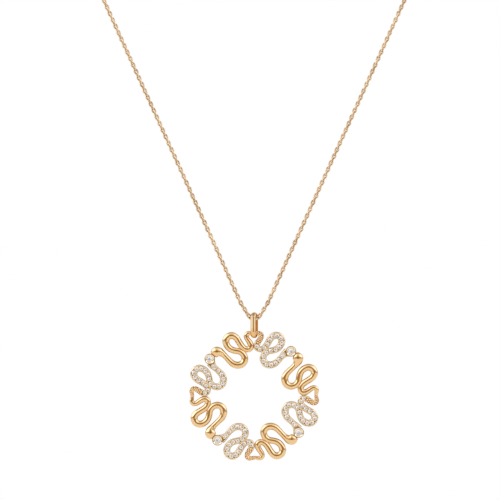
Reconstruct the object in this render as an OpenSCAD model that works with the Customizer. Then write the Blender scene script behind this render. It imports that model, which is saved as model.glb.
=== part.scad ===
// Snake pendant on a fine chain, worn as a necklace.
// Millimetres, +Z up, +X to the right seen from the front, front towards -Y.
// The origin is at the nape, where the chain lies on the back of the neck.

/* [Wreath] */
// Outside diameter over the tops of the outer loops
wreath_d = 28; // [25:0.5:30]
// Height of the domed front, in half widths of the snake
dome = 1.0; // [0.8:0.05:1.1]
// Height of the flat top that is paved with stones, in half widths of the snake
paved_top = 0.85; // [0.7:0.05:1]
// Depth of the flat back behind the mid plane
back_depth = 0.5; // [0.4:0.05:0.6]
// How far the wreath hangs turned from level, its top to the left, degrees
tilt = 0.46; // [0:0.02:1]

/* [Set heads] */
// Radius of the round collar that holds the stone
collar_r = 1.14; // [1.1:0.02:1.26]
// Height of the collar's rim in front of the mid plane
collar_front = 0.78; // [0.7:0.02:0.9]
// Girdle diameter of the stone
stone_d = 1.4; // [1.3:0.1:1.6]

/* [Bail] */
// Height of the loop from top to bottom
bail_h = 5.6; // [5.5:0.01:5.7]
// Width of the band
bail_w = 1.12; // [0.9:0.01:1.3]
// Thickness of the band at its crown
bail_t = 0.4; // [0.35:0.05:0.5]
// Inner radius of the two bends
bail_r = 1.06; // [0.95:0.01:1.2]
// Turn of the loop about the vertical, degrees
bail_turn = 14; // [0:1:18]

/* [Chain] */
// Width across the links
chain_d = 1.04; // [0.8:0.02:1.1]

/* [Clasp] */
// Outside diameter of the ring
clasp_d = 6; // [5:0.5:7]
// Thickness of the ring's tube
clasp_wire = 1.1; // [0.9:0.1:1.4]

/* [Hidden] */

rose_gold = [0.90, 0.68, 0.46];
stone_white = [0.92, 0.95, 1.0, 0.6];

// Lowest point of the chain's middle line, inside the bail
chain_low = [0, -116, -111.67];
// Middle of the wire in the top heart's notch, where the bail hangs through
notch = chain_low + [0, 0, -3.43];
notch_up = 13.4;
k = wreath_d / 28;
centre = notch - [0, 0, notch_up * k];

// One snake, from its nose to the notch of the heart, seen from the front.
// Columns: x and z of the middle line from the wreath's centre, half width, rings to the next row
X = 0; Z = 1; W = 2; RINGS = 3;
head_rows = [
    [-9.40,  9.36, 0.15, 1],
    [-9.10,  9.38, 0.70, 1],
    [-8.60,  9.42, 1.06, 1],
    [-8.05,  9.48, 1.17, 1],
    [-7.50,  9.42, 1.03, 1],
    [-7.02,  9.18, 0.79, 1],
];
body_rows = [
    [-6.60,  8.86, 0.64, 1],
    [-6.05,  8.32, 0.61, 1],
    [-5.36,  7.58, 0.65, 2],
    [-4.55,  6.88, 0.73, 2],
    [-3.50,  6.60, 0.77, 2],
    [-2.52,  6.94, 0.77, 2],
    [-2.02,  7.92, 0.74, 2],
    [-2.32,  8.92, 0.71, 1],
    [-3.15,  9.56, 0.69, 1],
    [-4.20,  9.76, 0.69, 1],
    [-5.15, 10.12, 0.71, 1],
    [-5.88, 10.90, 0.73, 2],
    [-6.15, 11.85, 0.75, 2],
    [-5.72, 12.70, 0.76, 2],
    [-4.85, 13.03, 0.76, 2],
    [-4.03, 12.67, 0.73, 1],
    [-3.42, 11.85, 0.70, 1],
    [-2.88, 10.98, 0.69, 1],
    [-2.40, 10.42, 0.66, 1],
    [-1.92, 10.12, 0.64, 1],
    [-1.40, 10.01, 0.64, 1],
    [-0.90, 10.20, 0.66, 1],
    [-0.69, 10.68, 0.68, 1],
];
tail_rows = [
    [-0.80, 11.20, 0.65, 1],
    [-1.22, 11.90, 0.59, 1],
    [-1.62, 12.50, 0.55, 1],
    [-1.74, 12.98, 0.53, 1],
    [-1.58, 13.36, 0.52, 1],
    [-1.20, 13.52, 0.48, 1],
    [-0.60, 13.46, 0.41, 1],
    [ 0.05, 13.40, 0.36, 1],
];
// Middle of the collar of a stone-set head, for the snake at the right of the top heart
collar_at = [8.03, 9.55];

// Half outlines across a snake, from the widest point to the back, in half widths: across, towards the front
domed_side = [[1, 0.08], [0.86, 0.56], [0.48, 0.89]];
paved_side = [[1, 0.30], [0.93, 0.72], [0.74, 1.0]];
paved_cap = 0.66; // highest the paved top stands in front of the mid plane
back_side = 0.72;

// Chain's middle line at the right, from the clasp to the bottom: x, y, z, rings to the next row
chain_rows = [
    [ 5.1,     0,      0,    2],
    [12,      -0.8,    0,    3],
    [30,      -7,     -0.5,  3],
    [45,     -19,     -1.5,  4],
    [53,     -36,     -3.5,  4],
    [53,     -54,     -7.5,  4],
    [47,     -70,    -15.5,  4],
    [39.3,   -81.4,  -28.5,  2],
    [35,     -85.4,  -38,    4],
    [ 5.5,  -112.45, -102.8, 1],
    [ 3.65, -114.15, -106.9, 1],
    [ 2.95, -114.9,  -108.4, 1],
    [ 2.1,  -115.5,  -109.8, 1],
    [ 1.3,  -115.95, -111.05, 2],
    [ 0.75, -116,    -111.64, 1],
    [ 0,    -116,    -111.67, 1],
];
chain_sides = 8;

function dist(a, b) = norm(b - a);
function unit(v) = v / norm(v);
function at(T, i) = T[max(0, min(len(T) - 1, i))];

// A smooth curve through the rows of a table of places P, with steps S to each next row.
// The slope at a row is weighted by how near its neighbours are, so uneven rows don't overshoot.
function slope(P, i) = let (
        a = i > 0 ? dist(P[i - 1], P[i]) : 1, b = i < len(P) - 1 ? dist(P[i], P[i + 1]) : 1,
        s = i > 0 ? (P[i] - P[i - 1]) / a : undef, t = i < len(P) - 1 ? (P[i + 1] - P[i]) / b : undef)
    i == 0 ? t : i == len(P) - 1 ? s : (s * b + t * a) / (a + b);
function between(P, V, i, t) = let (
        h = dist(P[i], P[i + 1]), m = slope(P, i) * h, n = slope(P, i + 1) * h,
        e = pow(t, 3) - 2 * t * t + t, f = pow(t, 3) - t * t, g = 3 * t * t - 2 * pow(t, 3))
    concat(P[i] * (1 - g) + P[i + 1] * g + m * e + n * f, [V[i] * (1 - g) + V[i + 1] * g]);
function curve(P, V, S) = concat(
    [for (i = [0 : len(P) - 2], s = [0 : S[i] - 1]) between(P, V, i, s / S[i])],
    [concat(P[len(P) - 1], [V[len(P) - 1]])]);
// The rows were laid out on a wreath turned a little from level; this sets them upright, and tilt turns the whole
lean = 0.4;
function upright(r) = [r[X] * cos(lean) + r[Z] * sin(lean), r[Z] * cos(lean) - r[X] * sin(lean)];
function snake_line(rows) = curve([for (r = rows) upright(r) * k], [for (r = rows) r[W] * k], [for (r = rows) r[RINGS]]);

// Rise of a dome over a section of half width w: the wide heads are flatter than the bodies
body_w = 0.82 * k;
function rise(w) = min(w, body_w + 0.6 * (w - body_w));
// Section of a snake of half width w: a list of across, front pairs going round
function section(w, side, top) = let (b = min(0.8 * w, back_depth), h = side == domed_side ? top * rise(w) : min(top * w, paved_cap)) concat(
    [for (q = side) [q.x * w, q.y * h]],
    side == domed_side ? [[0, h]] : [],
    [for (i = [len(side) - 1 : -1 : 0]) [-side[i].x * w, side[i].y * h]],
    [[-back_side * w, -b], [back_side * w, -b]]);
function ring(L, i, side, top) = let (
        t = unit([at(L, i + 1)[X] - at(L, i - 1)[X], at(L, i + 1)[Z] - at(L, i - 1)[Z]]), n = [t[1], -t[0]])
    [for (q = section(L[i][W], side, top)) [L[i][X] + n[0] * q.x, -q.y, L[i][Z] + n[1] * q.x]];

// The smallest solid over two rings of the same number of points
module link_up(a, b) {
    m = len(a);
    hull() polyhedron(concat(a, b), concat(
        [[for (j = [0 : m - 1]) j]], [[for (j = [m - 1 : -1 : 0]) m + j]],
        [for (j = [0 : m - 1]) [j, m + j, m + (j + 1) % m, (j + 1) % m]]));
}

module snake(rows, side, top) {
    L = snake_line(rows);
    for (i = [0 : len(L) - 2]) link_up(ring(L, i, side, top), ring(L, i + 1, side, top));
}

// A plain snake with its bulb of a head, at the left of the top heart
module gold_snake() snake(concat(head_rows, body_rows, tail_rows), domed_side, dome);

// A paved snake, its mirror image, with a collar for a head, a neck that widens to meet it and a rounder tail
neck_rows = [
    [-7.78, 9.47, 1.09, 1],
    [-7.29, 9.27, 1.01, 1],
    [-6.92, 9.08, 0.88, 1],
    [-6.60, 8.86, 0.75, 1],
];
module paved_snake() {
    mirror([1, 0, 0]) {
        snake(concat(neck_rows, [for (i = [1 : len(body_rows) - 1]) body_rows[i]]), paved_side, paved_top);
        snake(concat([body_rows[len(body_rows) - 1]], tail_rows), domed_side, dome);
    }
    hull() {
        collar(collar_r * k, back_depth, collar_front - 0.25);
        collar((collar_r - 0.12) * k, back_depth, collar_front);
    }
}
module collar(r, back, front) translate([collar_at.x * k, back, collar_at.y * k]) rotate([90, 0, 0])
    cylinder(r = r, h = back + front, $fn = 32);

// The stone sits with its girdle a little under the collar's rim
girdle_front = collar_front - 0.2;
module stone_place(turn) translate(centre) rotate([0, turn - tilt, 0])
    translate([collar_at.x * k, -girdle_front, collar_at.y * k]) rotate([90, 0, 0]) children();
module stone_seat(turn) stone_place(turn) rotate_extrude($fn = 32)
    polygon([[0, -0.82], [0.12, -0.82], [stone_d / 2 + 0.08, -0.06], [stone_d / 2 + 0.08, 1], [0, 1]]);
module stone(turn) color(stone_white) stone_place(turn) rotate_extrude($fn = 48)
    polygon([[0, -0.43 * stone_d], [stone_d / 2, -0.01], [stone_d / 2, 0.01], [0.29 * stone_d, 0.16 * stone_d], [0, 0.16 * stone_d]]);

module wreath() color(rose_gold) difference() {
    translate(centre) for (q = [0 : 3]) rotate([0, 90 * q - tilt, 0]) {
        gold_snake();
        paved_snake();
    }
    for (q = [0 : 3]) stone_seat(90 * q);
}

module head_stone_ne() stone(0);
module head_stone_se() stone(90);
module head_stone_sw() stone(180);
module head_stone_nw() stone(270);

// Half-round section of the bail: x is the distance from the bend's middle, y is across the band
bail_round = (pow(bail_w / 2, 2) + pow(0.65 * bail_t, 2)) / (1.3 * bail_t);
module bail_section() intersection() {
    translate([bail_r, -bail_w / 2]) square([1, bail_w]);
    translate([bail_r + bail_t - bail_round, 0]) circle(r = bail_round, $fn = 64);
}
module bail() {
    // The lower bend's inner face hangs just under the notch wire
    low = notch + [0, 0, bail_r - 0.55];
    straight = bail_h - 2 * (bail_r + bail_t);
    color(rose_gold) translate(low) rotate([0, 0, -bail_turn]) {
        rotate([0, 90, 0]) rotate([0, 0, -90]) rotate_extrude(angle = 180, $fn = 64) bail_section();
        translate([0, 0, straight]) rotate([0, 90, 0]) rotate([0, 0, 90]) rotate_extrude(angle = 180, $fn = 64) bail_section();
        for (a = [90, -90]) rotate([0, 0, a]) linear_extrude(straight) bail_section();
    }
}

// The chain: a tube swept along its middle line, right half and its mirror image
chain_half = curve([for (r = chain_rows) [r[0], r[1], r[2]]], [for (r = chain_rows) 0], [for (r = chain_rows) r[3]]);
chain_line = concat(
    [for (i = [0 : len(chain_half) - 1]) [for (j = [0 : 2]) chain_half[i][j]]],
    [for (i = [len(chain_half) - 2 : -1 : 0]) [-chain_half[i][0], chain_half[i][1], chain_half[i][2]]]);
module chain() {
    L = chain_line;
    n = len(L);
    m = chain_sides;
    pts = [for (i = [0 : n - 1]) let (
            t = i == 0 || i == n - 1 ? [1, 0, 0] : unit(unit(L[i + 1] - L[i]) + unit(L[i] - L[i - 1])),
            // Away from the middle of the neck, so that the tube doesn't twist
            out = unit(cross(t, [0, 0.74, -0.67])), up = cross(out, t))
        for (j = [0 : m - 1]) L[i] + chain_d / 2 * (cos(360 * (j + 0.5) / m) * out + sin(360 * (j + 0.5) / m) * up)];
    color(rose_gold) polyhedron(pts, concat(
        [[for (j = [m - 1 : -1 : 0]) j]], [[for (j = [0 : m - 1]) (n - 1) * m + j]],
        [for (i = [0 : n - 2], j = [0 : m - 1]) [i * m + j, i * m + (j + 1) % m, (i + 1) * m + (j + 1) % m, (i + 1) * m + j]]));
}

// The clasp: a round ring with a small eye at each side for the chain's ends
clasp_r = (clasp_d - clasp_wire) / 2;
eye_wire = 0.5;
eye_r = 0.75;
module clasp() color(rose_gold) rotate([90, 0, 0]) {
    rotate_extrude($fn = 64) translate([clasp_r, 0]) circle(d = clasp_wire, $fn = 32);
    for (s = [-1, 1]) translate([s * (4.98 - eye_wire / 2 - eye_r), 0, 0])
        rotate_extrude($fn = 48) translate([eye_r, 0]) circle(d = eye_wire, $fn = 24);
}

wreath();
head_stone_ne();
head_stone_se();
head_stone_sw();
head_stone_nw();
bail();
chain();
clasp();
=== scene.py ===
import math
import bpy
import numpy as np
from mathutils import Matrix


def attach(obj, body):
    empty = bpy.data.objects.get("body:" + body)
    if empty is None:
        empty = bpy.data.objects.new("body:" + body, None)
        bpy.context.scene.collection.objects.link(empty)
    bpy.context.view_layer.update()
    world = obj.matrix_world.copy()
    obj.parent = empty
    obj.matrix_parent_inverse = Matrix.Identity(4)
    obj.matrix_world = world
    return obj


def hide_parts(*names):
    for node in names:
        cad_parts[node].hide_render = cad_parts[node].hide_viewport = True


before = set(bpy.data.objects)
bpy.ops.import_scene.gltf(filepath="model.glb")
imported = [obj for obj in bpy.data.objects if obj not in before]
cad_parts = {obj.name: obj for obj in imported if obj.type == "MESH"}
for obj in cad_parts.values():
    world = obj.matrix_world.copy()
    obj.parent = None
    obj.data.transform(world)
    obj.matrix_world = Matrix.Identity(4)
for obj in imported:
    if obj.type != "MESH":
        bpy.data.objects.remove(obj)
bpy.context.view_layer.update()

# Lengths below are in millimetres in the CAD frame and become metres when a mesh is made.
MM = 0.001
CENTRE = np.array([0.0, -116.0, -128.5])      # middle of the wreath
CHAIN_LOW = np.array([0.0, -116.0, -111.67])  # lowest point of the chain's middle line
RNG = np.random.RandomState(7)

# ---------------------------------------------------------------- camera
cam_data = bpy.data.cameras.new("camera")
cam = bpy.data.objects.new("camera", cam_data)
bpy.context.scene.collection.objects.link(cam)
cam.location = (-0.92 * MM, (-116 - 1000) * MM, (31.54 - 128.5) * MM)
cam.rotation_euler = (math.radians(90), 0, 0)
cam_data.sensor_width = 36
cam_data.sensor_fit = "HORIZONTAL"
cam_data.lens = 36 * 1000 / 108.2
cam_data.clip_start = 0.05
cam_data.clip_end = 20
bpy.context.scene.camera = cam

# ---------------------------------------------------------------- mesh helpers


class Soup:
    """Points and faces gathered from many small shapes, made into one mesh."""

    def __init__(self):
        self.v, self.f, self.m, self.s, self.a, self.n = [], [], [], [], [], 0

    def add(self, verts, faces, mat=0, smooth=True, attr=None, flip=False):
        verts = np.asarray(verts, float)
        faces = np.asarray(faces, int)
        if flip:
            faces = faces[:, ::-1]
        self.v.append(verts)
        self.f.append((faces + self.n, mat, smooth))
        self.a.append(np.full(len(verts), 0.0) if attr is None else np.broadcast_to(np.asarray(attr, float), (len(verts),)))
        self.n += len(verts)

    def make(self, name, mats, attr_name="shade", sharp=None):
        me = bpy.data.meshes.new(name)
        V = np.concatenate(self.v) * MM
        loops, starts, totals, mi, sm, at = [], [], [], [], [], 0
        for faces, mat, smooth in self.f:
            k = faces.shape[1]
            loops.append(faces.reshape(-1))
            starts.append(at + np.arange(len(faces)) * k)
            totals.append(np.full(len(faces), k))
            at += faces.size
            mi.append(np.full(len(faces), mat))
            sm.append(np.full(len(faces), smooth))
        loops, starts = np.concatenate(loops), np.concatenate(starts)
        me.vertices.add(len(V))
        me.vertices.foreach_set("co", V.reshape(-1))
        me.loops.add(len(loops))
        me.loops.foreach_set("vertex_index", loops.astype(np.int32))
        me.polygons.add(len(starts))
        me.polygons.foreach_set("loop_start", starts.astype(np.int32))
        me.polygons.foreach_set("material_index", np.concatenate(mi).astype(np.int32))
        me.update(calc_edges=True)
        me.polygons.foreach_set("use_smooth", np.concatenate(sm))
        a = me.attributes.new(attr_name, "FLOAT", "POINT")
        a.data.foreach_set("value", np.concatenate(self.a).astype(np.float32))
        me.validate()
        if sharp:
            me.set_sharp_from_angle(angle=math.radians(sharp))
        for m in mats:
            me.materials.append(m)
        ob = bpy.data.objects.new(name, me)
        bpy.context.scene.collection.objects.link(ob)
        return ob


def grid_faces(rows, cols, wrap=False):
    """Quads of a grid of points; wrap joins the last column to the first."""
    i = np.arange(rows - 1)[:, None]
    j = np.arange(cols if wrap else cols - 1)[None, :]
    a, b = i * cols + j, i * cols + (j + 1) % cols
    return np.stack([a, b, b + cols, a + cols], -1).reshape(-1, 4)


def fan(first, n, centre, flip=False):
    j = np.arange(n)
    f = np.stack([first + j, first + (j + 1) % n, np.full(n, centre)], -1)
    return f[:, ::-1] if flip else f


def smooth_line(P, V, step, sigma):
    """The curve of part.scad through the rows, cut into equal steps and eased so that its bend changes smoothly."""
    P, V = np.array(P, float), np.array(V, float)
    seg = np.diff(P, axis=0)
    d = np.linalg.norm(seg, axis=1)
    s = seg / d[:, None]
    sl = np.empty_like(P)
    sl[0], sl[-1] = s[0], s[-1]
    sl[1:-1] = (s[:-1] * d[1:, None] + s[1:] * d[:-1, None]) / (d[1:] + d[:-1])[:, None]
    out, wid = [], []
    for i in range(len(d)):
        t = np.arange(40)[:, None] / 40
        e, f, g = t**3 - 2 * t * t + t, t**3 - t * t, 3 * t * t - 2 * t**3
        out.append(P[i] * (1 - g) + P[i + 1] * g + sl[i] * d[i] * e + sl[i + 1] * d[i] * f)
        wid.append(V[i] * (1 - g[:, 0]) + V[i + 1] * g[:, 0])
    out = np.concatenate(out + [P[-1:]])
    wid = np.concatenate(wid + [V[-1:]])
    L = np.concatenate([[0], np.cumsum(np.linalg.norm(np.diff(out, axis=0), axis=1))])
    n = int(round(L[-1] / step)) + 1
    at = np.linspace(0, L[-1], n)
    out = np.stack([np.interp(at, L, out[:, k]) for k in range(out.shape[1])], 1)
    wid = np.interp(at, L, wid)
    if sigma:
        r = int(3 * sigma / step) + 1
        kern = np.exp(-0.5 * (np.arange(-r, r + 1) * step / sigma) ** 2)
        kern /= kern.sum()

        def ease(x):
            pad = np.concatenate([2 * x[0] - x[r:0:-1], x, 2 * x[-1] - x[-2:-r - 2:-1]])
            return np.convolve(pad, kern, "valid")
        out = np.stack([ease(out[:, k]) for k in range(out.shape[1])], 1)
        wid = ease(wid)
    L = np.concatenate([[0], np.cumsum(np.linalg.norm(np.diff(out, axis=0), axis=1))])
    return out, wid, L


def across(C):
    """Unit directions across a plane line, to the right of its run."""
    t = np.gradient(C, axis=0)
    t /= np.linalg.norm(t, axis=1)[:, None]
    return np.stack([t[:, 1], -t[:, 0]], 1)


def reach(C, N, W, side, near=60):
    """How far each section reaches to one side before the inside of a tight bend meets itself."""
    n = len(C)
    lim = W.copy()
    for i in range(n):
        a, b = max(0, i - near), min(n, i + near + 1)
        for u in np.linspace(0.1, 1.0, 19):
            p = C[i] + side * N[i] * W[i] * u
            q = np.linalg.norm(C[a:b] - p, axis=1) / W[i]
            if q.min() < u - 0.03:
                lim[i] = max(0.05, (u - 0.05) * W[i])
                break
    # the limit changes gently along the line
    k = np.array([1, 2, 3, 2, 1]) / 9
    lim2 = np.convolve(np.pad(lim, 2, "edge"), k, "valid")
    return np.minimum(lim, lim2)


# ---------------------------------------------------------------- the snakes' table, the same rows as in part.scad
HEAD = [
    [-9.40, 9.36, 0.15], [-9.10, 9.38, 0.70], [-8.60, 9.42, 1.06],
    [-8.05, 9.48, 1.17], [-7.50, 9.42, 1.03], [-7.02, 9.18, 0.79],
]
BODY = [
    [-6.60, 8.86, 0.64], [-6.05, 8.32, 0.61], [-5.36, 7.58, 0.65], [-4.55, 6.88, 0.73],
    [-3.50, 6.60, 0.77], [-2.52, 6.94, 0.77], [-2.02, 7.92, 0.74], [-2.32, 8.92, 0.71],
    [-3.15, 9.56, 0.69], [-4.20, 9.76, 0.69], [-5.15, 10.12, 0.71], [-5.88, 10.90, 0.73],
    [-6.15, 11.85, 0.75], [-5.72, 12.70, 0.76], [-4.85, 13.03, 0.76], [-4.03, 12.67, 0.73],
    [-3.42, 11.85, 0.70], [-2.88, 10.98, 0.69], [-2.40, 10.42, 0.66], [-1.92, 10.12, 0.64],
    [-1.40, 10.01, 0.64], [-0.90, 10.20, 0.66], [-0.69, 10.68, 0.68],
]
NECK = [[-7.29, 9.27, 1.01], [-6.92, 9.08, 0.88], [-6.60, 8.86, 0.75]]
TAIL = [
    [-0.80, 11.20, 0.65], [-1.22, 11.90, 0.59], [-1.62, 12.50, 0.55], [-1.74, 12.98, 0.53],
    [-1.58, 13.36, 0.52], [-1.20, 13.52, 0.48], [-0.60, 13.46, 0.41], [0.05, 13.40, 0.36],
]
COLLAR_AT = np.array([8.03, 9.55])
COLLAR_R, COLLAR_FRONT, BACK = 1.14, 0.78, 0.5
LEAN = math.radians(0.4)
TILT = math.radians(0.46)


def rows_xy(rows):
    A = np.array(rows, float)
    c, s = math.cos(LEAN), math.sin(LEAN)
    return np.stack([A[:, 0] * c + A[:, 1] * s, -A[:, 0] * s + A[:, 1] * c], 1), A[:, 2]


def place(xz, y, q, mirror):
    """Plane points of the top heart's snake, put into the frame after q quarter turns clockwise."""
    x, z = (-xz[..., 0] if mirror else xz[..., 0]), xz[..., 1]
    for _ in range(q):
        x, z = z, -x
    c, s = math.cos(TILT), math.sin(TILT)
    x, z = x * c - z * s, x * s + z * c
    return np.stack([x + CENTRE[0], y + CENTRE[1], z + CENTRE[2]], -1)


def back_depth(w):
    return np.minimum(0.8 * w, BACK)


# ---------------------------------------------------------------- materials


def new_mat(name):
    m = bpy.data.materials.new(name)
    m.use_nodes = True
    nt = m.node_tree
    for n in list(nt.nodes):
        nt.nodes.remove(n)
    out = nt.nodes.new("ShaderNodeOutputMaterial")
    b = nt.nodes.new("ShaderNodeBsdfPrincipled")
    nt.links.new(b.outputs[0], out.inputs[0])
    return m, nt, b


def gold(name, light, deep, rough=0.10, scratch=0.25, mottled=0.35, last=None):
    """Polished rose gold: a colour that drifts a little, fine polishing lines and a slightly uneven gloss; painted
    shade and painted dark reflections come from the mesh's shade attribute, which blends the light tone into the deep
    one.
    """
    m, nt, b = new_mat(name)
    N, L = nt.nodes, nt.links
    co = N.new("ShaderNodeTexCoord")
    drift = N.new("ShaderNodeTexNoise")
    drift.inputs["Scale"].default_value = 420
    drift.inputs["Detail"].default_value = 4
    L.new(co.outputs["Object"], drift.inputs["Vector"])
    # painted shade: the shade attribute picks the colour from the light tone to the deep tone, and on to the last tone
    # where one is given
    at = N.new("ShaderNodeAttribute")
    at.attribute_name = "shade"
    ramp = N.new("ShaderNodeValToRGB")
    ramp.color_ramp.elements[0].position = 0.22
    ramp.color_ramp.elements[0].color = (*light, 1)
    ramp.color_ramp.elements[1].position = 1.0
    ramp.color_ramp.elements[1].color = (*deep, 1)
    if last:
        ramp.color_ramp.elements[1].position = 0.70
        ramp.color_ramp.elements.new(1.0).color = (*last, 1)
    s = N.new("ShaderNodeMath")
    s.operation = "MULTIPLY_ADD"
    s.inputs[1].default_value = mottled
    L.new(drift.outputs["Fac"], s.inputs[0])
    L.new(at.outputs["Fac"], s.inputs[2])
    L.new(s.outputs[0], ramp.inputs["Fac"])
    L.new(ramp.outputs["Color"], b.inputs["Base Color"])
    b.inputs["Metallic"].default_value = 1.0
    # gloss
    fine = N.new("ShaderNodeTexNoise")
    fine.inputs["Scale"].default_value = 2600
    fine.inputs["Detail"].default_value = 5
    L.new(co.outputs["Object"], fine.inputs["Vector"])
    rr = N.new("ShaderNodeMapRange")
    rr.inputs["From Min"].default_value = 0.3
    rr.inputs["From Max"].default_value = 0.75
    rr.inputs["To Min"].default_value = rough * 0.75
    rr.inputs["To Max"].default_value = rough * 1.6
    L.new(fine.outputs["Fac"], rr.inputs["Value"])
    L.new(rr.outputs["Result"], b.inputs["Roughness"])
    # polishing lines
    mp = N.new("ShaderNodeMapping")
    mp.inputs["Scale"].default_value = (1, 1, 9)
    mp.inputs["Rotation"].default_value = (0, 0.6, 0)
    L.new(co.outputs["Object"], mp.inputs["Vector"])
    sc = N.new("ShaderNodeTexNoise")
    sc.inputs["Scale"].default_value = 1500
    sc.inputs["Detail"].default_value = 3
    L.new(mp.outputs["Vector"], sc.inputs["Vector"])
    bump = N.new("ShaderNodeBump")
    bump.inputs["Strength"].default_value = scratch
    bump.inputs["Distance"].default_value = 0.0000016
    L.new(sc.outputs["Fac"], bump.inputs["Height"])
    L.new(bump.outputs["Normal"], b.inputs["Normal"])
    return m


# The second colour of each gold, and the third where given, is painted shade and painted dark and warm reflection, laid
# on through the shade attribute.
GOLD = gold("polished_rose_gold", (0.945, 0.655, 0.335), (0.45, 0.287, 0.127), rough=0.06, scratch=0.12, mottled=0.28)
SETTING = gold("setting_gold", (0.95, 0.765, 0.50), (0.43, 0.30, 0.155), rough=0.10, mottled=0.28, last=(0.50, 0.26, 0.10))
# painted highlight: collar gold and bead gold are paler copies of the setting gold, so that collars, prongs and beads
# look cream where they catch the light
COLLAR_GOLD = gold("collar_gold", (1.0, 0.83, 0.58), (0.44, 0.26, 0.105), rough=0.10, mottled=0.2)
BEAD_GOLD = gold("bead_gold", (1.0, 0.82, 0.54), (0.50, 0.26, 0.09), rough=0.09, mottled=0.2)
GRAIN = gold("grained_gold", (1.0, 0.755, 0.435), (0.52, 0.235, 0.07), rough=0.09, mottled=0.2)
BAIL_GOLD = gold("bail_gold", (1.0, 0.80, 0.52), (0.94, 0.60, 0.28), rough=0.04, scratch=0.04, mottled=0.2, last=(0.52, 0.36, 0.20))
CHAIN_GOLD = gold("chain_gold", (1.0, 0.79, 0.52), (0.385, 0.23, 0.095), rough=0.12, scratch=0.1)


def stone_material(name, tones):
    """Colourless brilliant: every facet carries its own tone, held in the mesh, a painted reflection of dark and light,
    made finer by painted sparkle, under a hard clear polish.
    """
    m, nt, b = new_mat(name)
    N, L = nt.nodes, nt.links
    at = N.new("ShaderNodeAttribute")
    at.attribute_name = "shade"
    co = N.new("ShaderNodeTexCoord")
    # painted sparkle: a fine cell pattern varies the facets' painted tones
    spark = N.new("ShaderNodeTexVoronoi")
    spark.inputs["Scale"].default_value = 5200
    L.new(co.outputs["Object"], spark.inputs["Vector"])
    s = N.new("ShaderNodeMath")
    s.operation = "MULTIPLY_ADD"
    s.inputs[1].default_value = 0.22
    L.new(spark.outputs["Distance"], s.inputs[0])
    L.new(at.outputs["Fac"], s.inputs[2])
    ramp = N.new("ShaderNodeValToRGB")
    e = ramp.color_ramp.elements
    e[0].position, e[0].color = 0.08, (*tones[0], 1)
    e[1].position, e[1].color = 0.90, (*tones[3], 1)
    mid = e.new(0.42)
    mid.color = (*tones[1], 1)
    warm = e.new(0.70)
    warm.color = (*tones[2], 1)
    L.new(s.outputs[0], ramp.inputs["Fac"])
    L.new(ramp.outputs["Color"], b.inputs["Base Color"])
    b.inputs["Roughness"].default_value = 0.04
    b.inputs["IOR"].default_value = 2.2
    b.inputs["Coat Weight"].default_value = 0.5
    b.inputs["Coat Roughness"].default_value = 0.02
    return m


# tones from dark to light: painted reflections in the facets, bluish grey in the dark, warm white in the light
STONE = stone_material("brilliant", [(0.20, 0.22, 0.27), (0.62, 0.59, 0.54), (0.92, 0.79, 0.60), (1.0, 0.93, 0.80)])
LARGE_STONE = stone_material("large_brilliant", [(0.28, 0.31, 0.36), (0.60, 0.61, 0.63), (0.84, 0.82, 0.78), (1.0, 0.97, 0.92)])

# ---------------------------------------------------------------- polished snakes
GOLD_SIDE = [0.0, 0.07, 0.14, 0.22, 0.31, 0.40, 0.49, 0.58, 0.67, 0.75, 0.82, 0.88, 0.93, 0.965, 0.99, 1.0]


def side_shade(sides, rim=0.86):
    """Painted shade round a section: the face is light, the walls and the back's edge are painted deep, a painted dark
    reflection along the outline.
    """
    u = np.array(sides)
    face = np.clip((u - rim) / (0.985 - rim), 0, 1) ** 1.2 * 0.95
    return face


def rise(w):
    """Height of the dome over a section of half width w: the wide heads are flatter than the bodies."""
    return np.minimum(w, 0.82 + 0.6 * (w - 0.82))


def dome_profile(w, top):
    """Points round a domed section: across and towards the front, for each half width in w."""
    w = w[:, None]
    u = np.array(GOLD_SIDE)
    b = back_depth(w)
    full = 0.92 - 0.18 * np.clip((w - 0.82) / 0.3, 0, 1)
    h = top * rise(w) * np.sqrt(np.clip(1 - u**2, 0, 1)) ** full
    edge = np.array([[1.0, -0.18], [0.975, -0.45], [0.92, -0.72], [0.83, -0.92], [0.72, -1.0], [0.36, -1.0]])
    t = np.concatenate([w * u[::-1], -w * u[1:], -w * edge[:, 0], 0 * w, w * edge[::-1, 0]], 1)
    y = np.concatenate([h[:, ::-1], h[:, 1:], b * edge[:, 1], -b, b * edge[::-1, 1]], 1)
    return t, y


def snake_mesh(soup, C, W, t, y, mirror, mat, attr, quarters=range(4), tip=None):
    N = across(C)
    right, left = reach(C, N, W, 1), reach(C, N, W, -1)
    t = np.minimum(np.maximum(t, -left[:, None]), right[:, None])
    n, m = t.shape
    xz = C[:, None, :] + N[:, None, :] * t[..., None]
    faces = grid_faces(n, m, wrap=True)
    for q in quarters:
        V = place(xz, -y, q, mirror).reshape(-1, 3)
        ends = np.stack([V[:m].mean(0), V[-m:].mean(0)])
        V = np.concatenate([V, ends])
        caps = np.concatenate([fan(0, m, n * m, True), fan((n - 1) * m, m, n * m + 1)])
        a = np.concatenate([np.asarray(attr).reshape(-1), [0, 0]])
        soup.add(V, faces, mat, True, a, flip=not mirror)
        # the caps share the points of the same block
        base = soup.n - len(V)
        c = caps[:, ::-1] if not mirror else caps
        soup.f.append((c + base, mat, True))
    return right, left


P, V = rows_xy(HEAD + BODY + TAIL)
C, W, L = smooth_line(P, V, 0.075, 0.16)
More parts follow.
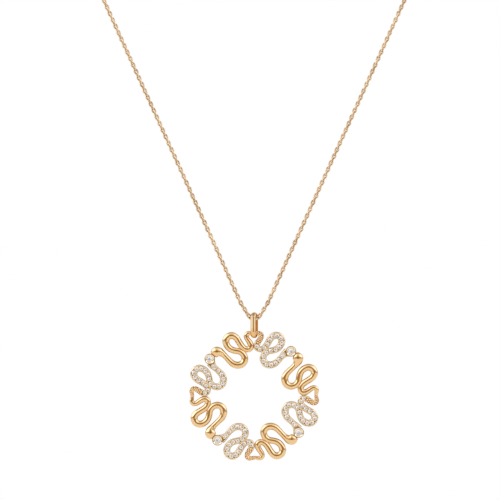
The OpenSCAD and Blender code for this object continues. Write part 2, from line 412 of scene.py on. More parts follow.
# the snout closes as a rounded end: closer sections there, their width from an ellipse
SNOUT = 1.30
fine = SNOUT * (1 - np.cos(np.linspace(0.06, math.pi / 2, 14)))
at = np.concatenate([fine, L[L > SNOUT + 0.04]])
C = np.stack([np.interp(at, L, C[:, k]) for k in range(2)], 1)
W = np.interp(at, L, W)
full = W[len(fine) - 1]
W[:len(fine)] = full * np.clip(1 - (1 - fine / SNOUT) ** 1.9, 0.0004, 1) ** 0.56
L = at
t, y = dome_profile(W, 1.0)
# painted shade: the outline and the walls of the polished snakes take the deep tone, standing in for dark reflections
# at the edges
face = side_shade(GOLD_SIDE, 0.90)
wall = [1.0, 0.95, 0.8, 0.5, 0.2, 0.1]
gold_shade = np.concatenate([face[::-1], face[1:], wall, [0.1], wall[::-1]])
gold_soup = Soup()
snake_mesh(gold_soup, C, W, t, y, False, 0, np.broadcast_to(gold_shade, t.shape))
gold_snakes = gold_soup.make("gold_snakes", [GOLD], sharp=50)

# ---------------------------------------------------------------- paved snakes
STONE_STEP = 1.03
P, V = rows_xy(NECK + BODY[1:] + TAIL)
C, W, L = smooth_line(P, V, 0.05, 0.16)
N = across(C)
# the paving ends a little past the last row of the body
tail_from = L[np.argmin(np.linalg.norm(C - rows_xy([TAIL[0]])[0], axis=1))] + 0.25
stone_at = [0.79, 1.39] + [1.39 + STONE_STEP * k for k in range(1, 20)]
stone_at = [s for s in stone_at if s < tail_from - 0.3]
stone_i = [int(np.argmin(abs(L - s))) for s in stone_at]
stone_r = np.array([0.64 * W[i] for i in stone_i])
stone_r[0] = 0.34
stone_r = np.minimum(stone_r, 0.475)
stone_c = C[stone_i]
top = np.minimum(0.85 * W, 0.64)
paved = L < tail_from

PAVE_SIDE = [0.0, 0.1, 0.2, 0.3, 0.4, 0.5, 0.6, 0.67, 0.72, 0.77, 0.82, 0.87, 0.91, 0.945, 0.975, 0.995]


def paved_profile(w, top, L):
    w, top = w[:, None], top[:, None]
    u = np.array(PAVE_SIDE)
    b = back_depth(w)
    bed = np.interp(u, [0, 0.66, 0.72], [-0.075, -0.075, 0.0])
    drop = 0.36 * (1 - np.sqrt(np.clip(1 - (np.clip(u - 0.70, 0, 1) / 0.30) ** 2, 0, 1)))
    h = top + (bed - drop) * (w / 0.72)
    # past the paving the top is domed
    k = np.clip((L[:, None] - tail_from) / 0.25, 0, 1)
    k = k * k * (3 - 2 * k)
    h = h * (1 - k) + k * 0.98 * w * np.sqrt(np.clip(1 - u**2, 0, 1)) ** 0.8
    edge = np.array([[1.0, 0.30], [1.0, -0.1], [0.975, -0.45], [0.92, -0.72], [0.83, -0.92], [0.72, -1.0], [0.36, -1.0]])
    ey = np.where(edge[:, 1] > 0, edge[:, 1] * top, edge[:, 1] * b)
    t = np.concatenate([w * u[::-1], -w * u[1:], -w * edge[:, 0], 0 * w, w * edge[::-1, 0]], 1)
    y = np.concatenate([h[:, ::-1], h[:, 1:], ey, -b, ey[:, ::-1]], 1)
    return t, y


t, y = paved_profile(W, top, L)
right, left = reach(C, N, W, 1), reach(C, N, W, -1)
tc = np.minimum(np.maximum(t, -left[:, None]), right[:, None])
xz = C[:, None, :] + N[:, None, :] * tc[..., None]
# a seat is sunk round every stone
seat = np.zeros(t.shape)
front = y > 0.15
for c, r in zip(stone_c, stone_r):
    d = np.linalg.norm(xz - c, axis=-1)
    inside = np.clip((r + 0.012 - d) / 0.05, 0, 1) * front * (abs(t) < 0.8 * W[:, None])
    seat = np.maximum(seat, inside)
y = y - seat * 0.06
# painted shade: the seats round the stones and the bed between the stones are a little darker
shade = seat * 0.10 + np.where(paved[:, None] & front & (abs(t) < 0.70 * W[:, None]), 0.10, 0.0)
# painted shade: the strip's walls and outer rim are painted deep as a dark outline
face = side_shade(PAVE_SIDE, 0.92)
wall = [1.0, 1.0, 0.95, 0.8, 0.5, 0.2, 0.1]
shade = np.maximum(shade, np.concatenate([face[::-1], face[1:], wall, [0.1], wall[::-1]]))
# painted shade: past the paving the tail's face takes the darkest tone, the shade in the gaps between the grains;
# elsewhere the outer rim is painted deeper
shade = np.where((L[:, None] > tail_from) & (y > 0), 1.0, shade * 0.62 + 0.20 * np.clip((abs(t) / W[:, None] - 0.90) / 0.08, 0, 1) * (y > 0))

paved_soup = Soup()
snake_mesh(paved_soup, C, W, t, y, True, 0, shade)
paved_snakes = paved_soup.make("paved_snakes", [SETTING], sharp=45)

# ---------------------------------------------------------------- stones


def brilliant(r, table=0.56, crown=0.17, pavilion=0.42, girdle=0.03):
    """A round brilliant of 57 facets with its girdle at height 0: points, triangles and a painted reflection tone for
    each triangle.
    """
    d = 2 * r
    gh = girdle * d / 2
    v, f, tone = [], [], []

    def ring(n, rad, h, turn=0.0):
        k = len(v)
        for i in range(n):
            a = 2 * math.pi * (i + turn) / n
            v.append((rad * math.cos(a), rad * math.sin(a), h))
        return k
    ct = ring(8, r * table, crown * d)                 # table's corners
    cm = ring(8, r * 0.80, crown * d * 0.56, 0.5)      # where stars and mains meet
    gu = ring(16, r, gh)
    gl = ring(16, r, -gh)
    pm = ring(8, r * 0.36, -pavilion * d * 0.66, 0.5)
    v.append((0, 0, crown * d))
    top_c = len(v) - 1
    ci = ring(8, r * table * 0.48, crown * d, 0.5)     # the painted reflection pattern of the pavilion, seen through the table
    v.append((0, 0, -pavilion * d))
    cul = len(v) - 1

    def tri(a, b, c, k):
        f.append((a, b, c))
        tone.append(k)
    for i in range(8):
        j = (i + 1) % 8
        tri(top_c, ci[0] + i if isinstance(ci, tuple) else ci + i, (ci + j), "dark")
        tri(ct + i, ct + j, ci + i, "light")
        tri(ci + i, ct + j, ci + j, "mid")
        tri(ct + i, cm + i, ct + j, "star")
        a, b, c = gu + 2 * i, gu + 2 * i + 1, gu + (2 * i + 2) % 16
        tri(cm + i, a, b, "upper")
        tri(cm + i, b, c, "upper")
        h = (i + 7) % 8
        tri(ct + i, cm + h, a, "main")
        tri(ct + i, a, cm + i, "main")
        a, b, c = gl + 2 * i, gl + 2 * i + 1, gl + (2 * i + 2) % 16
        tri(pm + i, b, a, "lower")
        tri(pm + i, c, b, "lower")
        tri(cul, pm + i, a, "pav")
        tri(cul, c, pm + i, "pav")
    for i in range(16):
        j = (i + 1) % 16
        tri(gu + i, gl + i, gl + j, "girdle")
        tri(gu + i, gl + j, gu + j, "girdle")
    return np.array(v), np.array(f), tone


# painted reflections: the range of tone for each kind of facet, dark in the table's middle and light round it
TONES = {"dark": (0.0, 0.5), "light": (0.40, 1.0), "mid": (0.05, 0.70), "star": (0.45, 1.0), "upper": (0.45, 1.0),
         "main": (0.50, 1.0), "lower": (0.3, 0.8), "pav": (0.2, 0.7), "girdle": (0.6, 0.7)}


def add_stone(soup, at, r, height, mat=0, even=1.0, **shape):
    """A stone at plane point `at` (frame millimetres x, z), girdle at this height in front of the mid plane."""
    v, f, tone = brilliant(r, **shape)
    a = RNG.uniform(0, 2 * math.pi)
    c, s = math.cos(a), math.sin(a)
    x, z = v[:, 0] * c - v[:, 1] * s, v[:, 0] * s + v[:, 1] * c
    lean = RNG.uniform(-0.035, 0.035, 2)
    h = v[:, 2] + x * lean[0] + z * lean[1]
    V = np.stack([at[0] + x, CENTRE[1] - height - h, at[1] + z], 1)
    # each triangle has its own points, so that it keeps its own painted tone
    tri_v = V[f].reshape(-1, 3)
    mid = v[f].mean(1)
    # painted light: each stone is painted lighter on one side, towards the angle lit, and darker on the other
    lit, half = RNG.uniform(0, 2 * math.pi), RNG.uniform(0.18, 0.42)
    turn = np.cos(np.arctan2(mid[:, 1], mid[:, 0]) - lit) * half
    val = np.repeat(0.54 + even * (np.array([RNG.uniform(*TONES[k]) for k in tone]) + turn - 0.5), 3)
    soup.add(tri_v, np.arange(len(tri_v)).reshape(-1, 3), mat, False, val)


def ball(rad, n=8, m=6):
    th = np.linspace(0, math.pi, m + 1)[1:-1]
    ph = np.arange(n) * 2 * math.pi / n
    V = [[0, 0, rad]] + [[rad * math.sin(a) * math.cos(b), rad * math.sin(a) * math.sin(b), rad * math.cos(a)] for a in th for b in ph] + [[0, 0, -rad]]
    F3, F4 = [], []
    for j in range(n):
        F3.append((0, 1 + j, 1 + (j + 1) % n))
        k = 1 + (m - 2) * n
        F3.append((len(V) - 1, k + (j + 1) % n, k + j))
    for i in range(m - 2):
        for j in range(n):
            a, b = 1 + i * n + j, 1 + i * n + (j + 1) % n
            F4.append((a, a + n, b + n, b))
    return np.array(V), np.array(F3), np.array(F4)


def add_ball(soup, xz_frame, height, rad, mat=0, tall=1.0, shade=0.0, foot_shade=0.0, n=8, m=6):
    V, F3, F4 = ball(rad, n, m)
    P = np.stack([xz_frame[0] + V[:, 0], CENTRE[1] - height - V[:, 2] * tall, xz_frame[1] + V[:, 1]], 1)
    base = soup.n
    # painted shade: each ball is painted darker towards its foot, where it meets the surface under it
    soup.add(P, F4, mat, True, shade + foot_shade * np.clip(1 - V[:, 2] / rad, 0, 1) ** 1.5)
    soup.f.append((F3 + base, mat, True))


def plane_to_frame(p, q, mirror):
    return place(np.asarray(p, float), 0.0, q, mirror)[..., [0, 2]]


stones, beads, grains = Soup(), Soup(), Soup()
for q in range(4):
    for i, c, r in zip(stone_i, stone_c, stone_r):
        add_stone(stones, plane_to_frame(c, q, True), r, top[i] - 0.045)
    # beads hold the stones at both edges, two at each side of each gap
    for k in range(len(stone_i) - 1):
        i0, i1 = stone_i[k], stone_i[k + 1]
        gap = (L[i1] - stone_r[k + 1]) - (L[i0] + stone_r[k])
        mid = (L[i1] - stone_r[k + 1] + L[i0] + stone_r[k]) / 2
        for side in (1, -1):
            lim = right if side > 0 else left
            for off in (-0.125, 0.125):
                j = int(np.argmin(abs(L - (mid + off))))
                across_by = side * min(0.66 * W[j], lim[j] - 0.04)
                add_ball(beads, plane_to_frame(C[j] + N[j] * across_by, q, True), top[j] - 0.02, 0.115, tall=0.9, shade=0.10)
    # grains cover the tail like scales: a row along each edge and one along the crest
    s = tail_from + 0.12
    row = 0
    while s < L[-1] - 0.05:
        j = int(np.argmin(abs(L - s)))
        g = 0.20 * W[j] / 0.5
        for u in ((-0.74, 0.0, 0.74) if row % 2 == 0 else (-0.38, 0.38)):
            side_lim = right[j] if u > 0 else left[j]
            tt = math.copysign(min(abs(u) * W[j], side_lim), u) if u else 0.0
            hh = 0.98 * W[j] * math.sqrt(max(0.0, 1 - (tt / W[j]) ** 2)) ** 0.8
            # painted shade at each grain's foot; the random shade is tone that differs from grain to grain
            add_ball(grains, plane_to_frame(C[j] + N[j] * tt, q, True), hh, g * RNG.uniform(0.92, 1.08), tall=1.0, shade=RNG.uniform(-0.2, 0.2), foot_shade=0.47, n=12, m=8)
        s += 1.65 * g
        row += 1
# a little solder where the loops of each snake touch
joins = Soup()
for q in range(4):
    for mirror in (False, True):
        for at, rad in (((-3.0, 10.22), 0.21), ((-1.98, 9.52), 0.19)):
            add_ball(joins, plane_to_frame(rows_xy([[*at, 0]])[0][0], q, mirror), 0.42 if mirror else 0.30, rad, shade=0.55)
solder_joins = joins.make("solder_joins", [GRAIN])
small_stones = stones.make("small_stones", [STONE])
prong_beads = beads.make("prong_beads", [BEAD_GOLD])
tail_grains = grains.make("tail_grains", [GRAIN])

# ---------------------------------------------------------------- set heads: collar, stone and prongs


def lathe(profile, n, at, phase=0.0):
    """A turned shape: profile rows are radius and height in front of the mid plane, round plane point at."""
    pr = np.array(profile, float)
    a = np.arange(n) * 2 * math.pi / n + phase
    x = at[0] + pr[:, None, 0] * np.cos(a)
    z = at[1] + pr[:, None, 0] * np.sin(a)
    y = np.broadcast_to(CENTRE[1] - pr[:, None, 1], x.shape)
    return np.stack([x, y, z], -1).reshape(-1, 3), grid_faces(len(pr), n, wrap=True)


collars, prongs = Soup(), Soup()
girdle = COLLAR_FRONT - 0.2
COLLAR = [
    [0.10, -0.30], [0.45, -0.02], [0.70, girdle - 0.08], [0.705, girdle + 0.02], [0.70, girdle + 0.05],
    [0.76, girdle + 0.09], [0.84, COLLAR_FRONT - 0.07], [0.92, COLLAR_FRONT - 0.03], [0.99, COLLAR_FRONT],
    [1.045, COLLAR_FRONT - 0.025], [1.09, COLLAR_FRONT - 0.09], [COLLAR_R, COLLAR_FRONT - 0.22], [COLLAR_R, 0.0],
    [COLLAR_R, -0.30], [1.12, -0.42], [1.05, -BACK], [0.6, -BACK], [0.12, -BACK],
]
head_names = ["head_stone_ne", "head_stone_se", "head_stone_sw", "head_stone_nw"]
head_stones = []
for q in range(4):
    at = plane_to_frame(COLLAR_AT, q, False)
    V, F = lathe(COLLAR, 56, at)
    V = np.concatenate([V, [[at[0], CENTRE[1] + 0.30, at[1]], [at[0], CENTRE[1] + BACK, at[1]]]])
    m = 56
    base = collars.n
    # painted shade: from the crest outward the collar's slope and side take the deep tone, a dark outline
    collars.add(V, F, 0, True, np.concatenate([np.repeat([0.2, 0.1, 0.0, 0.0, 0.0, 0.0, 0.0, 0.05, 0.45, 1.0, 1.0, 1.0, 0.9, 0.5, 0.25, 0.1, 0.1, 0.1], m), [0.5, 0.1]]))
    collars.f.append((fan(0, m, len(COLLAR) * m) + base, 0, True))
    collars.f.append((fan((len(COLLAR) - 1) * m, m, len(COLLAR) * m + 1, True) + base, 0, True))
    s = Soup()
    add_stone(s, at, 0.70, girdle, even=0.8, crown=0.16, pavilion=0.43)
    ob = s.make("brilliant_" + head_names[q][-2:], [LARGE_STONE])
    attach(ob, "pendant")
    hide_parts(head_names[q])
    head_stones.append(ob)
    for k in range(4):
        a = math.pi / 4 + k * math.pi / 2 + 0.18
        for da in (-0.13, 0.13):
            c = np.array([at[0] + 0.76 * math.cos(a + da), at[1] + 0.76 * math.sin(a + da)])
            # painted shade at each prong's foot
            add_ball(prongs, c, girdle + 0.10, 0.12, tall=1.0, shade=0.0, foot_shade=0.25, n=12, m=8)
set_collars = collars.make("set_collars", [COLLAR_GOLD], sharp=40)
head_prongs = prongs.make("head_prongs", [COLLAR_GOLD])

for ob in (gold_snakes, paved_snakes, set_collars, small_stones, prong_beads, tail_grains, head_prongs, solder_joins):
    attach(ob, "pendant")
    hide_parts("wreath")

# ---------------------------------------------------------------- bail
BAIL_W, BAIL_T, BAIL_R, BAIL_H, BAIL_TURN = 1.12, 0.40, 1.06, 5.60, math.radians(-14)


def bail_mesh():
    low = CHAIN_LOW[2] - 3.43 + BAIL_R - 0.55
    straight = BAIL_H - 2 * (BAIL_R + BAIL_T)
    # half section from the inner face, x is the distance from the bend's middle, y is across the band
    arc = []
    rad = ((BAIL_W / 2) ** 2 + (0.65 * BAIL_T) ** 2) / (1.3 * BAIL_T)
    for u in np.linspace(-1, 1, 17):
        yy = u * (BAIL_W / 2 - 0.03)
        arc.append([BAIL_R + BAIL_T - rad + math.sqrt(rad * rad - yy * yy), yy])
    e = BAIL_W / 2
    sec = [[BAIL_R + 0.02, -e + 0.04], [BAIL_R + 0.07, -e + 0.005], [BAIL_R + 0.12, -e]] + arc + \
          [[BAIL_R + 0.12, e], [BAIL_R + 0.07, e - 0.005], [BAIL_R + 0.02, e - 0.04], [BAIL_R, e - 0.12], [BAIL_R, 0.25], [BAIL_R, 0], [BAIL_R, -0.25], [BAIL_R, -e + 0.12]]
    sec = np.array(sec)
    # the top bend's quarter: upright, a small shoulder, a straight slope and then round
    quarter = [(1, 0), (1, 0.15), (1, 0.30), (1, 0.40), (0.998, 0.425), (0.991, 0.443), (0.978, 0.462), (0.955, 0.490),
               (0.90, 0.539), (0.82, 0.610), (0.74, 0.681)] + [(math.cos(a), math.sin(a)) for a in np.radians(np.arange(49, 90, 5))]
    rings = []
    for out, rise_by in quarter + [(0, 1)]:        # over the top, from the front to the back
        rings.append((low + straight, -out, rise_by))
    for out, rise_by in quarter[::-1]:
        rings.append((low + straight, out, rise_by))
    for k in range(1, 8):
        rings.append((low + straight * (1 - k / 8), 1.0, 0.0))
    for a in np.linspace(0, math.pi, 25):
        rings.append((low, math.cos(a), -math.sin(a)))
    for k in range(1, 8):
        rings.append((low + straight * k / 8, -1.0, 0.0))
    V = []
    for z0, cy, cz in rings:
        V.append(np.stack([sec[:, 1], sec[:, 0] * cy, z0 + sec[:, 0] * cz], 1))
    V = np.array(V)
    c, s = math.cos(BAIL_TURN), math.sin(BAIL_TURN)
    x, yy = V[..., 0] * c - V[..., 1] * s, V[..., 0] * s + V[..., 1] * c
    V = np.stack([x, yy + CHAIN_LOW[1], V[..., 2]], -1)
    n, m = V.shape[:2]
    i = np.arange(n)[:, None]
    j = np.arange(m)[None, :]
    F = np.stack([i * m + j, i * m + (j + 1) % m, (i + 1) % n * m + (j + 1) % m, (i + 1) % n * m + j], -1).reshape(-1, 4)
    s = Soup()
    # painted shade: the inner face and the band's edges take the warm deep tone, a painted warm reflection
    tone = np.tile(np.where(sec[:, 0] < BAIL_R + 0.01, 0.62, np.where(abs(sec[:, 1]) > BAIL_W / 2 - 0.035, 0.62, 0.0)), (n, 1))
    up = np.array([r[2] for r in rings])[:, None]
    end = np.array([r[0] for r in rings])[:, None] + up * (BAIL_R + BAIL_T)
    # painted shade on the top bend, which holds its highlights down
    tone = np.maximum(tone, np.interp(up, [0.46, 0.52, 0.74, 0.90], [0.0, 0.80, 0.80, 0.60]))
    # painted shade and painted warm reflection of the wreath: darker towards the bottom bend
    tone = np.maximum(tone, 0.66 * np.clip((low + 1.2 - end) / 1.2, 0, 1))
    s.add(V.reshape(-1, 3), F, 0, True, tone.reshape(-1))
    return s.make("bail_loop_piece", [BAIL_GOLD], sharp=35)


bail = bail_mesh()
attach(bail, "bail_loop")
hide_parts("bail")

# ---------------------------------------------------------------- chain: links along the tube's own line
CHAIN_ROWS = [
    [5.1, 0, 0], [12, -0.8, 0], [30, -7, -0.5], [45, -19, -1.5], [53, -36, -3.5], [53, -54, -7.5], [47, -70, -15.5],
    [39.3, -81.4, -28.5], [35, -85.4, -38], [5.5, -112.45, -102.8], [3.65, -114.15, -106.9], [2.95, -114.9, -108.4],
    [2.1, -115.5, -109.8], [1.3, -115.95, -111.05], [0.75, -116, -111.64], [0, -116, -111.67],
]
PITCH, LINK_L, LINK_W, WIRE = 0.856, 1.576, 1.08, 0.36


def link(facing, n=18, m=10):
    """One oval link: long along x, flat in x and y. Facing links show their loop to the front, the others their edge."""
    a = np.arange(n) * 2 * math.pi / n
    A, B, r = (LINK_L - WIRE) / 2, (LINK_W - WIRE) / 2, WIRE / 2
    c = np.stack([A * np.sign(np.cos(a)) * abs(np.cos(a)) ** 0.9, B * np.sign(np.sin(a)) * abs(np.sin(a)) ** 0.9, 0 * a], 1)
    t = np.roll(c, -1, 0) - np.roll(c, 1, 0)
    t /= np.linalg.norm(t, axis=1)[:, None]
    out = np.stack([t[:, 1], -t[:, 0], 0 * a], 1)
    b = np.arange(m) * 2 * math.pi / m
    V = c[:, None, :] + r * (np.cos(b)[None, :, None] * out[:, None, :] + np.sin(b)[None, :, None] * np.array([0, 0, 1.0]))
    i = np.arange(n)[:, None]
    j = np.arange(m)[None, :]
    F = np.stack([i * m + j, (i + 1) % n * m + j, (i + 1) % n * m + (j + 1) % m, i * m + (j + 1) % m], -1).reshape(-1, 4)
    if facing:      # painted shade: the wire's crest and inner side are painted deep
        tone = 0.64 * abs(np.sin(b))[None, :] ** 2 + 0.25 * np.clip(-np.cos(b), 0, 1)[None, :] + 0 * a[:, None]
    else:           # painted light and shade: the edge is painted light where it lies inside the next link, deeper between the links
        tone = 0.0 + 0.45 * np.clip(1 - abs(np.cos(a)) * 1.25, 0, 1)[:, None] + 0.35 * abs(np.sin(b))[None, :] ** 2
    return V.reshape(-1, 3), F, np.clip(tone, 0, 1).reshape(-1)


LINKS = [link(True), link(False)]
half, _, HL = smooth_line(CHAIN_ROWS, [0] * len(CHAIN_ROWS), 0.1, 0)
half, HL = half[::-1], HL[-1] - HL[::-1]       # from the low point up to the clasp


# the last link hangs in the clasp's eye, at right angles to it
END = HL[-1] + 0.19
LAST = int(round(END / PITCH + 0.37))
SPREAD = END - (LAST - 0.37) * PITCH


def link_at(k):
    return (k - 0.185 * min(k, 2)) * PITCH + SPREAD * min(max((k - 150) / (LAST - 150), 0), 1)


def add_links(soup, s_list, side):
    for k, s in s_list:
        LV, LF, LS = LINKS[k % 2]
        p = np.array([np.interp(s, HL, half[:, j]) for j in range(3)]) - [max(s - HL[-1], 0), 0, 0]
        q = np.array([np.interp(min(s + 0.35, HL[-1]), HL, half[:, j]) for j in range(3)])
        o = np.array([np.interp(s - 0.35, HL, half[:, j]) if s > 0.35 else (half[0] + (half[0] - np.array([np.interp(0.35 - s, HL, half[:, j]) for j in range(3)])) * np.array([1, 0, 0]))[j] for j in range(3)])
        t = q - o
        t /= np.linalg.norm(t)
        flat = np.array([0, 0.69, -0.72])          # away from the plane that the loop lies in
        a = np.cross(t, flat)
        a /= np.linalg.norm(a)
        b = np.cross(t, a)
        roll = math.radians(RNG.uniform(-5, 5)) + (math.pi / 2 if k % 2 else 0.0)
        roll += math.radians(-46.2 if LAST % 2 else 43.8) * min(max((k - LAST + 12) / 12, 0), 1)
        u, w = a * math.cos(roll) + b * math.sin(roll), -a * math.sin(roll) + b * math.cos(roll)
        V = p + LV[:, :1] * t + LV[:, 1:2] * u + LV[:, 2:3] * w
        if side < 0:
            V = V * np.array([-1, 1, 1])
        soup.add(V, LF, 0, True, LS + RNG.uniform(-0.1, 0.1), flip=side < 0)


for name, side, lo, hi in (("chain_right", 1, 0, 150), ("chain_left", -1, 1, 150), ("chain_back_right", 1, 150, LAST + 1), ("chain_back_left", -1, 150, LAST + 1)):
    s = Soup()
    add_links(s, [(k, link_at(k)) for k in range(lo, hi)], side)
    ob = s.make(name, [CHAIN_GOLD])
    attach(ob, "necklace")
    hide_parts("chain")

# ---------------------------------------------------------------- clasp


def torus(R, r, centre, n=48, m=14, a0=0.0, a1=2 * math.pi, r_fn=None):
    closed = abs(a1 - a0 - 2 * math.pi) < 1e-6
    k = n if closed else n + 1
    a = a0 + (a1 - a0) * np.arange(k) / n
    b = np.arange(m) * 2 * math.pi / m
    rr = np.full(k, r) if r_fn is None else r_fn(a)
    x = (R + rr[:, None] * np.cos(b)) * np.cos(a)[:, None]
    z = (R + rr[:, None] * np.cos(b)) * np.sin(a)[:, None]
    y = rr[:, None] * np.sin(b) * np.ones(k)[:, None]
    V = np.stack([x + centre[0], y + centre[1], z + centre[2]], -1).reshape(-1, 3)
    if closed:
        i, j = np.arange(k)[:, None], np.arange(m)[None, :]
        F = np.stack([i * m + j, i * m + (j + 1) % m, (i + 1) % k * m + (j + 1) % m, (i + 1) % k * m + j], -1).reshape(-1, 4)
    else:
        F = grid_faces(k, m, wrap=True)
    return V, F


def clasp_mesh():
    s = Soup()
    R, r = 2.45, 0.55
    # the ring's tube with a rolled rim each side of the slot for the thumb piece
    V, F = torus(R, r, (0, 0, 0), n=96, m=20, r_fn=lambda a: r - 0.05 * np.exp(-((a - 1.05) / 0.10) ** 2) - 0.05 * np.exp(-((a - 2.2) / 0.05) ** 2))
    s.add(V, F, 0, True, 0.05)
    for a in (0.9, 1.2, 2.2):
        c = np.array([R * math.cos(a), 0, R * math.sin(a)])
        t = np.array([-math.sin(a), 0, math.cos(a)])
        u = np.array([math.cos(a), 0, math.sin(a)])
        th = np.arange(24) * 2 * math.pi / 24
        prof = [(-0.06, 0.50), (-0.05, 0.56), (0.0, 0.575), (0.05, 0.56), (0.06, 0.50)]
        V = np.array([[c + t * h + rad * (math.cos(b) * u + math.sin(b) * np.array([0, 1, 0])) for b in th] for h, rad in prof]).reshape(-1, 3)
        s.add(V, grid_faces(5, 24, wrap=True), 0, True, 0.1)
    # the thumb piece on the inside of the ring
    V3, F3, F4 = ball(0.30, 14, 10)
    c = np.array([1.55 * math.cos(1.05), 0, 1.55 * math.sin(1.05)])
    base = s.n
    s.add(V3 + c, F4, 0, True, 0.0)
    s.f.append((F3 + base, 0, True))
    th = np.arange(12) * 2 * math.pi / 12
    u = np.array([math.cos(1.05), 0, math.sin(1.05)])
    t = np.array([-math.sin(1.05), 0, math.cos(1.05)])
    V = np.array([[u * d + 0.12 * (math.cos(b) * t + math.sin(b) * np.array([0, 1, 0])) for b in th] for d in (1.5, 2.1)]).reshape(-1, 3)
    s.add(V, grid_faces(2, 12, wrap=True), 0, True, 0.1)
    # the eyes at both sides
    for sx in (-1, 1):
        V, F = torus(0.75, 0.25, (sx * (4.98 - 0.25 - 0.75), 0, 0), n=40, m=12)
        s.add(V, F, 0, True, 0.05)
    return s.make("clasp_ring", [CHAIN_GOLD], sharp=40)


clasp = clasp_mesh()
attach(clasp, "necklace")
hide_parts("clasp")

# ---------------------------------------------------------------- floor and light


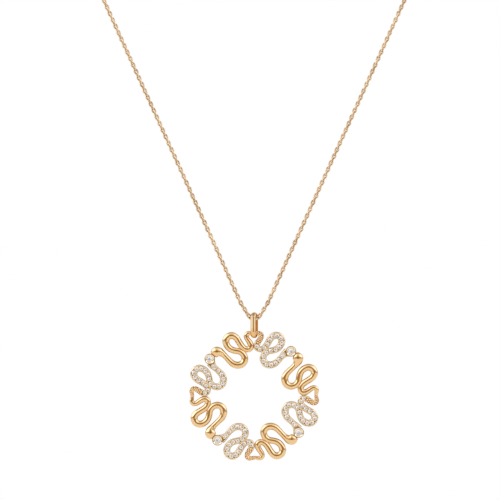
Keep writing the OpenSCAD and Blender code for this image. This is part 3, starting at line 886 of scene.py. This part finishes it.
def studio():
    # a plain pale floor, round, that fades into the backdrop far out
    z0, n = -430, 96
    s = Soup()
    s.add([(0, 0, z0)] + [(4000 * math.cos(2 * math.pi * k / n), 4000 * math.sin(2 * math.pi * k / n), z0) for k in range(n)],
          [(0, 1 + k, 1 + (k + 1) % n) for k in range(n)], 0, True, 0)
    m, nt, b = new_mat("studio_white")
    b.inputs["Base Color"].default_value = (0.925, 0.905, 0.835, 1)
    b.inputs["Roughness"].default_value = 0.9
    place_at = nt.nodes.new("ShaderNodeTexCoord")
    far = nt.nodes.new("ShaderNodeVectorMath")
    far.operation = "LENGTH"
    nt.links.new(place_at.outputs["Object"], far.inputs[0])
    fade = nt.nodes.new("ShaderNodeMapRange")
    fade.interpolation_type = "SMOOTHSTEP"
    fade.inputs["From Min"].default_value = 1.2
    fade.inputs["From Max"].default_value = 3.9
    fade.inputs["To Min"].default_value = 1.0
    fade.inputs["To Max"].default_value = 0.0
    nt.links.new(far.outputs["Value"], fade.inputs["Value"])
    nt.links.new(fade.outputs["Result"], b.inputs["Alpha"])
    ob = s.make("studio_floor", [m])

    w = bpy.data.worlds.new("studio")
    bpy.context.scene.world = w
    w.use_nodes = True
    nt = w.node_tree
    N, L = nt.nodes, nt.links
    bg = N["Background"]
    co = N.new("ShaderNodeTexCoord")

    def lobe(axis, inner, outer):
        """1 within inner degrees of a direction, easing to 0 at outer degrees."""
        a = np.array(axis, float)
        a /= np.linalg.norm(a)
        dot = N.new("ShaderNodeVectorMath")
        dot.operation = "DOT_PRODUCT"
        dot.inputs[1].default_value = tuple(a)
        L.new(co.outputs["Generated"], dot.inputs[0])
        ang = N.new("ShaderNodeMath")
        ang.operation = "ARCCOSINE"
        L.new(dot.outputs["Value"], ang.inputs[0])
        mr = N.new("ShaderNodeMapRange")
        mr.interpolation_type = "SMOOTHSTEP"
        mr.inputs["From Min"].default_value = math.radians(inner)
        mr.inputs["From Max"].default_value = math.radians(outer)
        mr.inputs["To Min"].default_value = 1.0
        mr.inputs["To Max"].default_value = 0.0
        L.new(ang.outputs[0], mr.inputs["Value"])
        return mr.outputs["Result"]

    def toward(az, el):
        """Direction seen from the object: az degrees right of the camera's side, el degrees up."""
        az, el = math.radians(az), math.radians(el)
        return (math.sin(az) * math.cos(el), -math.cos(az) * math.cos(el), math.sin(el))

    sep = N.new("ShaderNodeSeparateXYZ")
    L.new(co.outputs["Generated"], sep.inputs[0])
    front = N.new("ShaderNodeMath")
    front.operation = "MULTIPLY"
    front.inputs[1].default_value = -1.0
    L.new(sep.outputs["Y"], front.inputs[0])
    turn = N.new("ShaderNodeMath")
    turn.operation = "ARCTAN2"
    L.new(sep.outputs["X"], turn.inputs[0])
    L.new(front.outputs[0], turn.inputs[1])
    rise = N.new("ShaderNodeMath")
    rise.operation = "ARCSINE"
    L.new(sep.outputs["Z"], rise.inputs[0])

    def ramp_of(value, a, b, down):
        mr = N.new("ShaderNodeMapRange")
        mr.interpolation_type = "SMOOTHSTEP"
        mr.inputs["From Min"].default_value = math.radians(a)
        mr.inputs["From Max"].default_value = math.radians(b)
        mr.inputs["To Min"].default_value = 1.0 if down else 0.0
        mr.inputs["To Max"].default_value = 0.0 if down else 1.0
        L.new(value, mr.inputs["Value"])
        return mr.outputs["Result"]

    def times(a, b):
        k = N.new("ShaderNodeMath")
        k.operation = "MULTIPLY"
        L.new(a, k.inputs[0])
        L.new(b, k.inputs[1])
        return k.outputs[0]

    def panel(across, up):
        """1 inside a box of directions, easing to 0 at its edges: four angles across and four up."""
        a = times(ramp_of(turn.outputs[0], across[0], across[1], False), ramp_of(turn.outputs[0], across[2], across[3], True))
        b = times(ramp_of(rise.outputs[0], up[0], up[1], False), ramp_of(rise.outputs[0], up[2], up[3], True))
        return times(a, b)

    color = TENT
    for where, size, size2, tone, amount in LIGHTS:
        mix = N.new("ShaderNodeMix")
        mix.data_type = "RGBA"
        mix.inputs["B"].default_value = (*tone, 1)
        if isinstance(color, tuple):
            mix.inputs["A"].default_value = (*color, 1)
        else:
            L.new(color, mix.inputs["A"])
        k = N.new("ShaderNodeMath")
        k.operation = "MULTIPLY"
        k.inputs[1].default_value = amount
        L.new(lobe(toward(*where), size, size2) if len(where) == 2 else panel(where, size), k.inputs[0])
        L.new(k.outputs[0], mix.inputs["Factor"])
        color = mix.outputs["Result"]
    # the tent lights the metal; looked at straight, the backdrop is plain white
    path = N.new("ShaderNodeLightPath")
    plain = N.new("ShaderNodeMix")
    plain.data_type = "RGBA"
    plain.inputs["B"].default_value = (1, 1, 1, 1)
    L.new(path.outputs["Is Camera Ray"], plain.inputs["Factor"])
    L.new(color, plain.inputs["A"])
    L.new(plain.outputs["Result"], bg.inputs["Color"])
    bg.inputs["Strength"].default_value = 1.0


# A white light tent. A round row: direction (right, up) in degrees, inner and outer radius, tone, amount.
# A panel row: four angles across, four angles up, nothing, tone, amount.
TENT = (0.905, 0.88, 0.85)
LIGHTS = [
    ((180, 0), 25, 85, (0.58, 0.53, 0.42), 1.0),                                        # far side, behind the pendant
    ((180, 45), 10, 42, (0.46, 0.40, 0.28), 0.8),
    ((-145, -112, -42, -25), (10, 18, 48, 64), 0, (1.75, 1.88, 2.3), 1.0),                # left soft box
    ((25, 42, 106, 140), (10, 18, 46, 62), 0, (1.45, 1.56, 1.9), 1.0),                    # right soft box
    ((0, 4), 8, 32, (0.358, 0.215, 0.077), 0.95),                                           # the room behind the camera
    ((-70, -44, 44, 70), (0, 3, 14, 21), 0, (0.25, 0.17, 0.08), 0.85),                    # dim strip over the table's edge
    ((-125, -95, 95, 125), (-1, 1, 6, 10), 0, (0.36, 0.26, 0.13), 0.75),                 # the edge itself, round to the sides
    ((-14, -7, 7, 14), (-12, -6, 26, 46), 0, (0.265, 0.165, 0.07), 0.85),                  # dim gap with the camera
    ((180, 78), 8, 34, (0.46, 0.40, 0.30), 0.85),                                        # the tent's closed top, a little behind
]
studio()


scene = bpy.context.scene
scene.view_settings.view_transform = "Standard"
scene.view_settings.look = "None"
